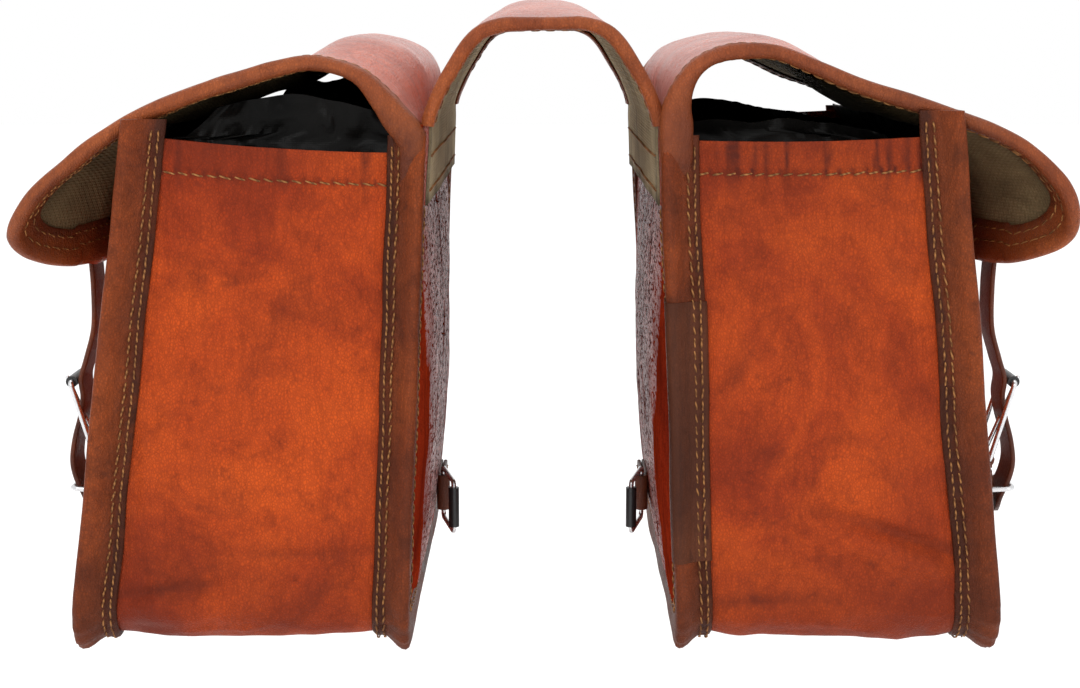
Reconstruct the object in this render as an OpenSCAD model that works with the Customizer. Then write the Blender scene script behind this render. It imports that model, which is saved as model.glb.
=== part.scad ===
// Throw-over saddle bag for a bicycle rack: two leather pouches joined by a bridge.
// X runs across the bicycle, Y along it and Z up. The origin is on the rack seat.

/* [Pouches] */
// Length of each pouch along the bicycle, over its bindings
pouch_len = 270; // [250:5:290]
// Height of the gusset from its mouth to the floor
pouch_h = 215; // [205:5:230]
// Front to back depth of a pouch at its mouth
mouth_depth = 120; // [118:1:124]
// How far the front panel leans out by the floor
front_lean = 25; // [20:1:27]
// How far the back panel leans out by the floor
back_lean = 9.5; // [8:0.5:11]
// Corner radius of the panels at the floor
corner_r = 22; // [16:1:30]
// How far the front panel crowns outwards
front_crown = 10; // [6:1:10]
// How far the back panel crowns towards the wheel
back_crown = 7; // [3:1:7]

/* [Leather] */
// Thickness of the leather
leather_t = 2.2; // [1.8:0.1:2.4]
// Thickness of the canvas lining
canvas_t = 0.8; // [0.5:0.1:0.9]
// Width of the bound seams
binding_w = 17; // [14:1:20]
// How far the bound seams stand off the gusset
binding_rise = 8; // [6:1:9]

/* [Bridge] */
// Half of the gap between the back panels at the mouth
half_gap = 49; // [48:0.5:50]
// Half of the bridge's length along the bicycle
bridge_half = 124; // [110:2:125]
// Half of the flat width that lies on the rack
seat_half = 15; // [12:1:15]

/* [Closures] */
// Distance of each closure from the middle of the pouch
closure_y = 67; // [60:1:75]
// Width of the straps
strap_w = 20; // [18:1:20]
// Thickness of the straps
strap_t = 2.2; // [1.8:0.1:2.2]
// Radius of the buckle wire
wire_r = 1.2; // [1.1:0.05:1.25]
// Radius of the buckle rollers
roller_r = 2.55; // [2.3:0.05:2.6]

/* [Hidden] */
$fn = 32;

gap = 0.1;             // air between pieces that are sewn together
mouth_z = -43;         // top edge of the gusset
panel_top_z = -45;     // top edge of the front panel
floor_z = mouth_z - pouch_h;
gusset_half = pouch_len / 2 - binding_rise;
wear_z = -75;          // the back panel is flat above this, where the bridge is sewn to it
bridge_t = leather_t + canvas_t + gap;
split_gap = 1;         // air between two pieces that a hinge separates
bridge_split_x = 24;
flap_split_x = 85;
edge_w = 12;           // width of the bindings on the flap and the bridge
edge_over = 1;         // how far those bindings stand above the leather
edge_under = bridge_t + 1.1;
above = 20;            // how far cutters run past an open top

leather = [0.66, 0.25, 0.10];
binding_brown = [0.42, 0.22, 0.11];
back_red = [0.40, 0.10, 0.08];
olive = [0.36, 0.34, 0.24];
black_cloth = [0.06, 0.06, 0.06];
steel = [0.78, 0.78, 0.80];
black_metal = [0.05, 0.05, 0.05];

// Leaning lines of the back and front panels, seen from the end of the bag
function back_x(z) = half_gap + back_lean * (mouth_z - z) / pouch_h;
function front_x(z) = half_gap + mouth_depth + front_lean * (mouth_z - z) / pouch_h;

// Curves: a smooth line through key points, and ribbons that follow it
function unit(v) = v / norm(v);
function between_keys(a, b, c, d, t) =
    0.5 * (2 * b + (c - a) * t + (2 * a - 5 * b + 4 * c - d) * t * t
           + (3 * b - a - 3 * c + d) * t * t * t);
function smooth(k, n) = concat(
    [for (i = [0:len(k) - 2], j = [0:n - 1])
        between_keys(k[max(i - 1, 0)], k[i], k[i + 1], k[min(i + 2, len(k) - 1)], j / n)],
    [k[len(k) - 1]]);
function heading(p, i) = unit(p[min(i + 1, len(p) - 1)] - p[max(i - 1, 0)]);
function shifted(p, t) =
    [for (i = [0:len(p) - 1]) let (d = heading(p, i)) p[i] + t * [-d[1], d[0]]];
function backwards(p) = [for (i = [len(p) - 1:-1:0]) p[i]];
function ribbon(p, low, high) = concat(shifted(p, high), backwards(shifted(p, low)));
function arc(c, r, from, to, n = 8) =
    [for (k = [0:n]) let (a = from + (to - from) * k / n) c + r * [cos(a), sin(a)]];

// Outer line of the back panel's top, from the mouth over to the flap's hinge
root_line = smooth([[half_gap, mouth_z], [50.2, -33], [55, -19], [65, -8.5], [76, -3.4],
                    [flap_split_x - split_gap / 2, -2.6]], 3);
// Outer line of the flap, from its hinge to its lip
flap_line = smooth([[flap_split_x + split_gap / 2, -2.6], [103, -4.6], [125, -12.5], [150, -24.5],
                    [175, -38.5], [198, -53], [211, -65], [216.5, -77], [213, -88], [203, -95]], 4);
strap_start = 14;      // the strap is sewn on from this point of the flap's line
bound_lip = 4;         // the lip's binding covers this many points of the flap's line

// Underside of the bridge, from the rack seat down to where it is sewn to the back panel
function sewn(z) = [back_x(z) - bridge_t - 2 * gap, z];
bridge_end_z = -72;
shoulder_line = smooth([[seat_half, 0], [20, -0.8], [bridge_split_x, -2.6]], 4);
leg_line = smooth([[bridge_split_x + split_gap, -2.8], [29.5, -7.5], [35, -16], [41, -26.5],
                   sewn(mouth_z + 5), sewn(mouth_z - 4), sewn(bridge_end_z)], 4);

// Closures: bar and roller lie across the strap, and the tab hangs from the bar
bar = [197.5, -189.3];
roller = [207.6, -154];
tab_lean = 3.6;
frame_lean = atan((roller[0] - bar[0]) / (roller[1] - bar[1]));
frame_len = norm(roller - bar);
frame_w = strap_w + 4.8;
prong_lean = frame_lean + 6;
prong_r = 1;
prong_slot = 2.5;
strap_past_roller = roller_r + strap_t / 2 + 0.45;
into_bag = [-cos(frame_lean), sin(frame_lean)];
strap_over = shifted([for (i = [strap_start:len(flap_line) - 1]) flap_line[i]],
                     edge_over + strap_t / 2 + 0.2);
strap_under = smooth([strap_over[len(strap_over) - 1], [198.8, -104.5], [196, -115], [197.2, -130],
                      [201, -144], roller + strap_past_roller * into_bag, [203.1, -161],
                      [204.6, -169.8], [207.4, -179.9], [208.8, -189.7], [207.6, -197.2],
                      [205, -203.5], [203.5, -208], [203.5, -213]], 3);
strap_line = concat(strap_over, [for (i = [1:len(strap_under) - 1]) strap_under[i]]);
tab_half_t = 2.1;
tab_len = 40;
magnet_drop = 32;
magnet_r = 8;
keeper_drop = 13;
keeper_in = -3.5;
keeper_out = 10.5;
running = 0.05;        // radial air between a wire and what turns on it

// Rear loops: an upright bar in a tab low on the back panel, and a roller on the far bar
rear_bar = [49, 18, -227];
rear_reach = 31;
rear_lean = 12;
rear_h = 24.8;
rear_tab_half = 9;

module on_side(s) mirror([s < 0 ? 1 : 0, 0, 0]) children();
module along_x(from, length) translate([from, 0, 0]) rotate([90, 0, 90]) linear_extrude(length) children();
module along_y(length) rotate([90, 0, 0]) linear_extrude(length, center = true) children();

// Outline of a panel or gusset seen from the front: open above, round corners at the floor
module u_outline(half, low, r, top)
    polygon(concat([[-half, top]], arc([-half + r, low + r], r, 180, 270),
                   arc([half - r, low + r], r, 270, 360), [[half, top]]));

// The part of a solid between two lines that lean with the panels
module lean_cut(from_back, from_front, low_offset, high_offset) {
    top = mouth_z + above;
    low = floor_z - above;
    near = function (z) from_back ? back_x(z) : front_x(z);
    far = function (z) from_front ? front_x(z) : back_x(z);
    intersection() {
        children();
        along_y(pouch_len + above)
            polygon([[near(top) + low_offset, top], [far(top) + high_offset, top],
                     [far(low) + high_offset, low], [near(low) + low_offset, low]]);
    }
}

// Closed sheet between two lines, crowned across its width
module crowned_sheet(outer, inner, half, crown, m = 12) {
    n = len(outer) - 1;
    count = (n + 1) * (m + 1);
    at = function (i, j) i * (m + 1) + j;
    place = function (p, i, j) let (c = 2 * j / m - 1)
        [p[i][0] + crown[i] * cos(90 * c), half[i] * c, p[i][1]];
    points = concat([for (i = [0:n], j = [0:m]) place(outer, i, j)],
                    [for (i = [0:n], j = [0:m]) place(inner, i, j)]);
    skin = [for (i = [0:n - 1], j = [0:m - 1], k = [0, 1])
        k == 0 ? [at(i, j), at(i + 1, j), at(i + 1, j + 1)]
               : [at(i, j), at(i + 1, j + 1), at(i, j + 1)]];
    back = [for (f = skin) [f[2] + count, f[1] + count, f[0] + count]];
    quad = function (a, b, flip) flip
        ? [[b, a, b + count], [a, a + count, b + count]]
        : [[a, b, b + count], [a, b + count, a + count]];
    rims = concat(
        [for (i = [0:n - 1], f = quad(at(i, 0), at(i + 1, 0), true)) f],
        [for (i = [0:n - 1], f = quad(at(i, m), at(i + 1, m), false)) f],
        [for (j = [0:m - 1], f = quad(at(0, j), at(0, j + 1), false)) f],
        [for (j = [0:m - 1], f = quad(at(n, j), at(n, j + 1), true)) f]);
    polyhedron(points, concat(skin, back, rims));
}

// Heights of a panel's rows, closer together round the floor corners
function rows(top) = concat(
    [for (i = [0:7]) top + (floor_z + corner_r - top) * i / 8],
    [for (k = [0:5]) floor_z + corner_r - corner_r * sin(18 * k)]);
function half_at(z) = gusset_half - corner_r
    + sqrt(max(0, pow(corner_r, 2) - pow(max(0, floor_z + corner_r - z), 2)));
function wheel_crown(z) = z > wear_z ? 0 : -back_crown * sin(180 * (wear_z - z) / (wear_z - floor_z));
function outer_crown(z) = front_crown * sin(30 + 150 * (panel_top_z - z) / (panel_top_z - floor_z));

// Bridge: the middle lies on the rack, and a leg on each side is sewn to a pouch
module seat_band(low, high, length) {
    half = ribbon(shoulder_line, low, high);
    n = len(shoulder_line);
    top = [for (i = [0:n - 1]) half[i]];
    bottom = [for (i = [n:2 * n - 1]) half[i]];
    flip = function (p) [for (q = backwards(p)) [-q[0], q[1]]];
    along_y(length) polygon(concat(top, bottom, flip(bottom), flip(top)));
}

module bridge_leather() color(leather)
    seat_band(canvas_t + gap, bridge_t, 2 * bridge_half - 2);

module bridge_canvas() color(olive)
    seat_band(0, canvas_t, 2 * (bridge_half - edge_w - gap));

// Under the bridge the bindings are flush with the canvas, so that it all lies flat on the rack
module bridge_bindings() color(binding_brown)
    difference() {
        seat_band(0, bridge_t + edge_over, 2 * bridge_half);
        seat_band(canvas_t, bridge_t + gap, 2 * bridge_half - 1.8);
        translate([-100, -bridge_half + edge_w, -50]) cube([200, 2 * (bridge_half - edge_w), 100]);
    }

module bridge_leg(s) color(leather)
    on_side(s) along_y(2 * bridge_half - 2) polygon(ribbon(leg_line, canvas_t + gap, bridge_t));

module leg_canvas(s) color(olive)
    on_side(s) along_y(2 * bridge_half - 2) polygon(ribbon(leg_line, 0, canvas_t));

// The leg's bindings end where the leg meets the back panel
module leg_bindings(s) color(binding_brown)
    on_side(s) {
        free = [for (p = leg_line) if (p[1] > mouth_z + 6) p];
        difference() {
            along_y(2 * bridge_half) polygon(ribbon(free, -edge_over, bridge_t + edge_over));
            along_y(2 * bridge_half - 1.8) polygon(ribbon(free, -gap, bridge_t + gap));
            translate([0, -bridge_half + edge_w, -100])
                cube([100, 2 * (bridge_half - edge_w), 150]);
        }
    }

// Back panel, which carries on over the top as the fixed root of the flap
module back_panel(s) color(back_red)
    on_side(s) {
        z_rows = rows(mouth_z);
        panel_rows = concat([for (z = z_rows) if (z < mouth_z && z > wear_z) z], [wear_z],
                            [for (z = z_rows) if (z < wear_z) z]);
        top = backwards(root_line);
        outer = concat(top, [for (z = panel_rows) [back_x(z), z]]);
        inner = concat(backwards(shifted(root_line, -leather_t)),
                       [for (z = panel_rows) [back_x(z) + leather_t, z]]);
        crowned_sheet(outer, inner, [for (p = outer) half_at(p[1])],
                      [for (p = outer) wheel_crown(p[1])]);
    }

module front_panel(s) color(leather)
    on_side(s) {
        z_rows = rows(panel_top_z);
        outer = [for (z = z_rows) [front_x(z) - leather_t, z]];
        inner = [for (z = z_rows) [front_x(z), z]];
        crowned_sheet(outer, inner, [for (z = z_rows) half_at(z)], [for (z = z_rows) outer_crown(z)]);
    }

// Walls along the bag's ends and floor, one strip with round corners
module u_wall(inset, t, top)
    along_x(0, 250) difference() {
        u_outline(gusset_half - inset, floor_z + inset, corner_r - inset, top);
        u_outline(gusset_half - inset - t, floor_z + inset + t, corner_r - inset - t, top + above);
    }

module gusset(s) color(leather)
    on_side(s) lean_cut(true, true, leather_t + gap, -leather_t - gap) u_wall(0, leather_t, mouth_z);

// Cloth lining: a thin open bag inside the leather
module lining(s) color(black_cloth)
    on_side(s) {
        out = leather_t + 0.4;
        thick = 0.8;
        difference() {
            lean_cut(true, true, out, -out) along_x(0, 250)
                u_outline(gusset_half - out, floor_z + out, corner_r - out, panel_top_z);
            lean_cut(true, true, out + thick, -out - thick) along_x(0, 250)
                u_outline(gusset_half - out - thick, floor_z + out + thick, corner_r - out - thick,
                          mouth_z + above);
        }
    }

// Bound seams round the two panels
module seam_ring(top)
    along_x(0, 250) difference() {
        u_outline(gusset_half + binding_rise, floor_z - binding_rise, corner_r + binding_rise, top);
        u_outline(gusset_half + gap, floor_z - gap, corner_r + gap, top + above);
    }

module front_binding(s) color(binding_brown)
    on_side(s) intersection() {
        lean_cut(true, true, 0, 1.5) seam_ring(panel_top_z + 0.5);
        lean_cut(false, true, 1.5 - binding_w, 1.5) translate([0, -200, -400]) cube([300, 400, 500]);
    }

module back_binding(s) color(binding_brown)
    on_side(s) lean_cut(true, false, -1.5, binding_w - 3) seam_ring(mouth_z);

// Bindings on the ends of the flap's fixed root, between the back binding and the flap's
module root_bindings(s) color(binding_brown)
    on_side(s) {
        before = root_line[0] - [0, 5];
        after = root_line[len(root_line) - 1] + [5, 0];
        difference() {
            along_y(pouch_len) polygon(ribbon(root_line, -edge_under, edge_over));
            along_y(2 * gusset_half + 2 * gap)
                polygon(ribbon(concat([before], root_line, [after]), -leather_t - gap, gap));
            along_y(pouch_len - 2 * edge_w)
                polygon(ribbon(concat([before], root_line, [after]), -15, 15));
            translate([0, -pouch_len, mouth_z + gap - above]) cube([100, 2 * pouch_len, above]);
        }
    }

// Overlap of darker leather where the back binding is joined, on one end of the right pouch
module right_binding_patch() color([0.22, 0.10, 0.07]) {
    top = -111;
    low = -224;
    translate([0, -pouch_len / 2 - gap, 0]) rotate([90, 0, 0]) linear_extrude(1.2)
        polygon([[back_x(top) - 1.5, top], [back_x(top) + binding_w - 3, top],
                 [back_x(low) + binding_w - 3, low], [back_x(low) - 1.5, low]]);
}

// Flap
module flap(s) color(leather)
    on_side(s) along_y(pouch_len - 4) polygon(ribbon(flap_line, -leather_t, 0));

module flap_canvas(s) color(olive)
    on_side(s) along_y(pouch_len - 4) polygon(ribbon(flap_line, -bridge_t, -leather_t - gap));

module flap_binding(s) color(binding_brown)
    on_side(s) {
        n = len(flap_line);
        lip = flap_line[n - 1] + 1.2 * heading(flap_line, n - 1);
        open_line = [for (i = [0:n - 1 - bound_lip]) flap_line[i]];
        before = flap_line[0] - [5, 0];
        difference() {
            along_y(pouch_len) polygon(ribbon(concat(flap_line, [lip]), -edge_under, edge_over));
            along_y(pouch_len - 3.8)
                polygon(ribbon(concat([before], flap_line), -bridge_t - gap, gap));
            along_y(pouch_len - 2 * edge_w) polygon(ribbon(concat([before], open_line), -15, 15));
        }
    }

// Closure pieces. Each child is drawn with the buckle's bar as its origin.
module closures() for (y = [-closure_y, closure_y]) translate([bar[0], y, bar[1]]) children();
module at_tab() rotate([0, -tab_lean, 0]) children();
module at_frame() rotate([0, frame_lean, 0]) children();
module cross_pin(r, length) rotate([90, 0, 0]) cylinder(h = length, r = r, center = true);

// Wire bent into a rectangle with round corners, lying flat
module wire_loop(w, h, corner, r) {
    for (k = [0:3]) {
        side = [k == 0 || k == 3 ? 1 : -1, k < 2 ? 1 : -1];
        translate([side[0] * (w / 2 - corner), side[1] * (h / 2 - corner), 0]) rotate(90 * k)
            rotate_extrude(angle = 90) translate([corner, 0]) circle(r);
    }
    for (s = [-1, 1]) {
        translate([corner - w / 2, s * h / 2, 0]) rotate([0, 90, 0]) cylinder(h = w - 2 * corner, r = r);
        translate([s * w / 2, h / 2 - corner, 0]) rotate([90, 0, 0]) cylinder(h = h - 2 * corner, r = r);
    }
}

// Strap: sewn over the flap, under the roller, out over the bar and down into the keeper
module straps(s) color(leather)
    on_side(s) for (y = [-closure_y, closure_y]) difference() {
        translate([0, y, 0]) along_y(strap_w) polygon(ribbon(strap_line, -strap_t / 2, strap_t / 2));
        translate([bar[0], y, bar[1]]) along_y(2 * prong_slot)
            polygon(concat([[0, 0]], arc([0, 0], frame_len - 4, 90 - prong_lean + 5, 90 - prong_lean - 13)));
    }

module buckle_tabs(s) color(leather)
    on_side(s) closures() at_tab() difference() {
        union() {
            translate([-tab_half_t, -strap_w / 2, -tab_len]) cube([2 * tab_half_t, strap_w, tab_len]);
            cross_pin(3.4, strap_w);
        }
        cross_pin(wire_r + 0.1, strap_w + 2);
        translate([-6, -prong_slot, -5]) cube([12, 2 * prong_slot, 12]);
    }

module buckle_frames(s) color(steel)
    on_side(s) closures() at_frame() translate([0, 0, frame_len / 2]) rotate([0, 90, 0])
        wire_loop(frame_len, frame_w, 2, wire_r);

module keepers(s) color(steel)
    on_side(s) closures() at_tab() translate([(keeper_in + keeper_out) / 2, 0, -keeper_drop])
        wire_loop(keeper_out - keeper_in, frame_w, 3, 1.1);

// Hidden catch: a magnet disc behind each tab meets a steel disc on the front panel
module magnet_caps(s) color(steel)
    on_side(s) closures() at_tab() translate([-tab_half_t - 1.85, 0, -magnet_drop])
        rotate([0, 90, 0]) cylinder(h = 1.8, r = magnet_r);

module magnet_plates(s) color(steel)
    on_side(s) closures() at_tab() translate([-tab_half_t - 3.9, 0, -magnet_drop])
        rotate([0, 90, 0]) cylinder(h = 1.7, r = magnet_r);

module rivets(s) color(steel)
    on_side(s) closures() at_tab() translate([tab_half_t + 0.02, 0, -magnet_drop])
        rotate([0, 90, 0]) cylinder(h = 1.3, r1 = 4, r2 = 3);

module roller_tube(length) difference() {
    cross_pin(roller_r, length);
    cross_pin(wire_r + running, length + 2);
}

module buckle_roller(s, y) color(black_metal)
    on_side(s) translate([roller[0], y, roller[1]]) roller_tube(strap_w);

module prong(s, y) color(steel)
    on_side(s) translate([bar[0], y, bar[1]]) rotate([0, prong_lean, 0]) difference() {
        union() {
            cross_pin(wire_r + 1.2, 4);
            cylinder(h = frame_len + 1.5, r = prong_r);
            translate([0, 0, frame_len + 1.5]) sphere(prong_r);
        }
        cross_pin(wire_r + running, 6);
    }

// Rear loops. The tab is thicker at its foot, where the back panel curves away.
module along_tab(length) translate([0, length, 0]) rotate([90, 0, 0]) linear_extrude(length) children();

module rear_tab(s) color(leather)
    on_side(s) translate(rear_bar) difference() {
        union() {
            along_tab(34) polygon([[-0.1, -rear_tab_half], [-0.1, rear_tab_half],
                                   [3.2, rear_tab_half], [5.7, -rear_tab_half]]);
            cylinder(h = 2 * rear_tab_half, r = 3.2, center = true);
        }
        cylinder(h = 2 * rear_tab_half + 2, r = wire_r + running, center = true);
    }

module at_rear_loop() translate(rear_bar) rotate([0, 0, -90 - rear_lean]) children();

module rear_loop(s) color(steel)
    on_side(s) at_rear_loop() rotate([90, 0, 0]) translate([rear_reach / 2, 0, 0])
        wire_loop(rear_reach, rear_h, 2.5, wire_r);

module rear_roller(s) color(black_metal)
    on_side(s) at_rear_loop() translate([rear_reach, 0, 0]) rotate([90, 0, 0]) roller_tube(rear_h - 5.6);

bridge_leather();
bridge_canvas();
bridge_bindings();
bridge_leg(-1);  // left_bridge_leg
bridge_leg(1);  // right_bridge_leg
leg_canvas(-1);  // left_leg_canvas
leg_canvas(1);  // right_leg_canvas
leg_bindings(-1);  // left_leg_bindings
leg_bindings(1);  // right_leg_bindings
back_panel(-1);  // left_back_panel
back_panel(1);  // right_back_panel
front_panel(-1);  // left_front_panel
front_panel(1);  // right_front_panel
gusset(-1);  // left_gusset
gusset(1);  // right_gusset
lining(-1);  // left_lining
lining(1);  // right_lining
front_binding(-1);  // left_front_binding
front_binding(1);  // right_front_binding
back_binding(-1);  // left_back_binding
back_binding(1);  // right_back_binding
root_bindings(-1);  // left_root_bindings
root_bindings(1);  // right_root_bindings
right_binding_patch();
magnet_plates(-1);  // left_magnet_plates
magnet_plates(1);  // right_magnet_plates
flap(-1);  // left_flap
flap(1);  // right_flap
flap_canvas(-1);  // left_flap_canvas
flap_canvas(1);  // right_flap_canvas
flap_binding(-1);  // left_flap_binding
flap_binding(1);  // right_flap_binding
straps(-1);  // left_straps
straps(1);  // right_straps
buckle_tabs(-1);  // left_buckle_tabs
buckle_tabs(1);  // right_buckle_tabs
buckle_frames(-1);  // left_buckle_frames
buckle_frames(1);  // right_buckle_frames
keepers(-1);  // left_keepers
keepers(1);  // right_keepers
magnet_caps(-1);  // left_magnet_caps
magnet_caps(1);  // right_magnet_caps
rivets(-1);  // left_rivets
rivets(1);  // right_rivets
buckle_roller(-1, -closure_y);  // left_near_roller
buckle_roller(-1, closure_y);  // left_far_roller
buckle_roller(1, -closure_y);  // right_near_roller
buckle_roller(1, closure_y);  // right_far_roller
prong(-1, -closure_y);  // left_near_prong
prong(-1, closure_y);  // left_far_prong
prong(1, -closure_y);  // right_near_prong
prong(1, closure_y);  // right_far_prong
rear_tab(-1);  // left_rear_tab
rear_tab(1);  // right_rear_tab
rear_loop(-1);  // left_rear_loop
rear_loop(1);  // right_rear_loop
rear_roller(-1);  // left_rear_roller
rear_roller(1);  // right_rear_roller
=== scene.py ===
"""Looks of the saddle bag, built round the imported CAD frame. Shapes are worked out in millimetres for the
right pouch, which hangs at +X, and mirrored for the left one. X runs across the bicycle, Y along it, Z up."""
import math

import bpy
import numpy as np
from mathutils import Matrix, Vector


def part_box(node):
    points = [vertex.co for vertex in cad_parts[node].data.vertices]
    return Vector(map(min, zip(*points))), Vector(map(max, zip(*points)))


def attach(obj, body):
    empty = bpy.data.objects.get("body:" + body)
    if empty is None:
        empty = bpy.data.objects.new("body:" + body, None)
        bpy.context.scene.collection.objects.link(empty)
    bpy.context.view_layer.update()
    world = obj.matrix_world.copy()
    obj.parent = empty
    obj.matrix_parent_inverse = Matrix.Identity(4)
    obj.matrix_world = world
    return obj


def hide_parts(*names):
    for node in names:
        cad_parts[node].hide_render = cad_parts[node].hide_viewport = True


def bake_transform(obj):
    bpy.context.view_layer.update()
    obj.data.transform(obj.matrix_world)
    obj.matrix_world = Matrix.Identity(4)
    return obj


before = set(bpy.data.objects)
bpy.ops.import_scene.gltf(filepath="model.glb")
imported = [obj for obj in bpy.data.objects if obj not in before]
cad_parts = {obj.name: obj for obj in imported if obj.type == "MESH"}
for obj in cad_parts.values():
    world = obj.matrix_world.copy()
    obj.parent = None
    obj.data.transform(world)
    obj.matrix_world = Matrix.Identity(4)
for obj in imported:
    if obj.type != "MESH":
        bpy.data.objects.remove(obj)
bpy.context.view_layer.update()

MM = 0.001


# ---- sizes, from the frame
def node_box(name):
    low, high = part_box(name)
    return np.array(low) / MM, np.array(high) / MM


gusset_low, gusset_high = node_box("right_gusset")
MOUTH, FLOOR, HALF = gusset_high[2], gusset_low[2], gusset_high[1]
BACK_MOUTH_X = 49.0
DEPTH_AT_MOUTH = 120.0
BACK_LEAN = 9.5
FRONT_LEAN = 25.0
CORNER_R = 22.0
LEATHER = 2.2
BAR = np.array([197.5, -189.3])
ROLLER = np.array([207.6, -154.0])
CLOSURE_Y = 67.0
STRAP_W = 20.0
TAB_LEAN = math.radians(3.6)
REAR_BAR = np.array([49.0, 18.0, -227.0])
STITCH = 5.6
FLAP_HALF = 129.0
FLAP_CORNER_R = 44.0
BRIDGE_HALF = 122.5
HEM = 13.0
LINING_GAP = 4.0
STRAP_T = 2.2
ROLLER_R = 2.55
PEBBLES = 900.0
CANVAS_T = 0.7
RIM_PITCH = 2.0
SMALL_STITCH = dict(pitch=4.2, radius=0.45, slant=0.1)


def back_x(z):
    return BACK_MOUTH_X + BACK_LEAN * (MOUTH - z) / (MOUTH - FLOOR)


def slump(z, side):
    """How much further out the pouch's front stands than in the CAD: the left one has slumped outwards."""
    return {-1: 4.5, 1: -1.8}[side] * (MOUTH - z) / (MOUTH - FLOOR)


def front_x(z, side):
    return BACK_MOUTH_X + DEPTH_AT_MOUTH + FRONT_LEAN * (MOUTH - z) / (MOUTH - FLOOR) + slump(z, side)


# ---- curves and noise
def step(low, high, v):
    t = np.clip((v - low) / (high - low), 0, 1)
    return t * t * (3 - 2 * t)


def smooth_line(keys, n=12):
    keys = np.array(keys, float)
    line = []
    for i in range(len(keys) - 1):
        a, b, c, d = (keys[min(max(k, 0), len(keys) - 1)] for k in (i - 1, i, i + 1, i + 2))
        for t in np.arange(n) / n:
            line.append(0.5 * (2 * b + (c - a) * t + (2 * a - 5 * b + 4 * c - d) * t**2
                               + (3 * b - a - 3 * c + d) * t**3))
    return np.array(line + [keys[-1]])


def lengths(line):
    return np.concatenate([[0], np.cumsum(np.linalg.norm(np.diff(line, axis=0), axis=1))])


def along(line, at, values=None):
    """The line's points at distances along it, or other values that its points carry."""
    s = lengths(line)
    values = line if values is None else values
    return np.stack([np.interp(at, s, values[:, k]) for k in range(values.shape[1])], -1)


def resample(line, spacing):
    total = lengths(line)[-1]
    return along(line, np.linspace(0, total, max(2, int(round(total / spacing)) + 1)))


def unit(v):
    return v / np.maximum(np.linalg.norm(v, axis=-1, keepdims=True), 1e-9)


def lattice(ix, iy, iz, seed):
    h = (ix * 374761393 + iy * 668265263 + iz * 2147483647 + seed * 1274126177) & 0xFFFFFFFF
    h = ((h ^ (h >> 13)) * 1274126177) & 0xFFFFFFFF
    return ((h ^ (h >> 16)) & 0xFFFF) / 32767.5 - 1


def noise(points, size, seed=0):
    """Smooth value noise from -1 to 1. size is the distance between its lumps, one number or one per axis."""
    q = np.asarray(points, float) / np.asarray(size, float) + 1000
    base = np.floor(q).astype(np.int64)
    f = q - base
    f = f * f * (3 - 2 * f)
    total = 0
    for corner in np.ndindex(2, 2, 2):
        weight = math.prod(np.abs(1 - corner[k] - f[..., k]) for k in range(3))
        total = total + weight * lattice(*(base[..., k] + corner[k] for k in range(3)), seed)
    return total


def rough(points, size, seed, octaves=3):
    return sum(noise(points, np.asarray(size) / 2**k, seed + k) / 2**k for k in range(octaves))


def ridges(points, size, seed):
    return 1 - np.abs(noise(points, size, seed)) * 2


# ---- meshes
def grid_normals(p):
    n = np.cross(np.gradient(p, axis=0), np.gradient(p, axis=1))
    return unit(n)


def grid_faces(n, m, offset=0, flip=False):
    i, j = np.meshgrid(np.arange(n - 1), np.arange(m - 1), indexing="ij")
    a = (i * m + j + offset).ravel()
    quads = np.stack([a, a + m, a + m + 1, a + 1], -1)
    return quads[:, ::-1] if flip else quads


def thick_sheet(p, outer, inner, outward):
    """Closed sheet round a grid of points, from inner to outer along its normals. outward is a point or a
    direction test: the normals are turned so that they agree with it."""
    n, m = p.shape[:2]
    normal = grid_normals(p)
    if np.sum(normal * outward) < 0:
        normal = -normal
    flip = np.sum(grid_normals(p) * normal) < 0
    outer = np.asarray(outer, float)
    inner = np.asarray(inner, float)
    top = p + normal * (outer[..., None] if outer.ndim else outer)
    low = p + normal * (inner[..., None] if inner.ndim else inner)
    verts = np.concatenate([top.reshape(-1, 3), low.reshape(-1, 3)])
    count = n * m
    faces = [grid_faces(n, m, 0, flip), grid_faces(n, m, count, not flip)]
    ring = np.concatenate([np.arange(m), m * np.arange(1, n) + m - 1,
                           (n - 1) * m + np.arange(m - 2, -1, -1), m * np.arange(n - 2, 0, -1)])
    nxt = np.roll(ring, -1)
    rim = np.stack([ring, nxt, nxt + count, ring + count], -1)
    faces.append(rim[:, ::-1] if flip else rim)
    return verts, np.concatenate(faces), normal


def tube_faces(rings, sides):
    """Faces of a tube made of rings of points, with a cap at each end."""
    i, j = np.meshgrid(np.arange(rings - 1), np.arange(sides), indexing="ij")
    a, b = (i * sides + j).ravel(), (i * sides + (j + 1) % sides).ravel()
    faces = [list(f) for f in np.stack([a, b, b + sides, a + sides], -1)]
    return faces + [list(range(sides))[::-1], list(range((rings - 1) * sides, rings * sides))]


def sweep(origin, a_axis, b_axis, profile):
    """Solid swept along origin, with its outline given along two axes at each point."""
    origin, profile = np.asarray(origin, float), np.asarray(profile, float)
    k = len(origin)
    if profile.ndim == 2:
        profile = np.broadcast_to(profile, (k,) + profile.shape)
    v = origin[:, None] + profile[..., :1] * a_axis[:, None] + profile[..., 1:] * b_axis[:, None]
    return v.reshape(-1, 3), tube_faces(k, profile.shape[1])


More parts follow.
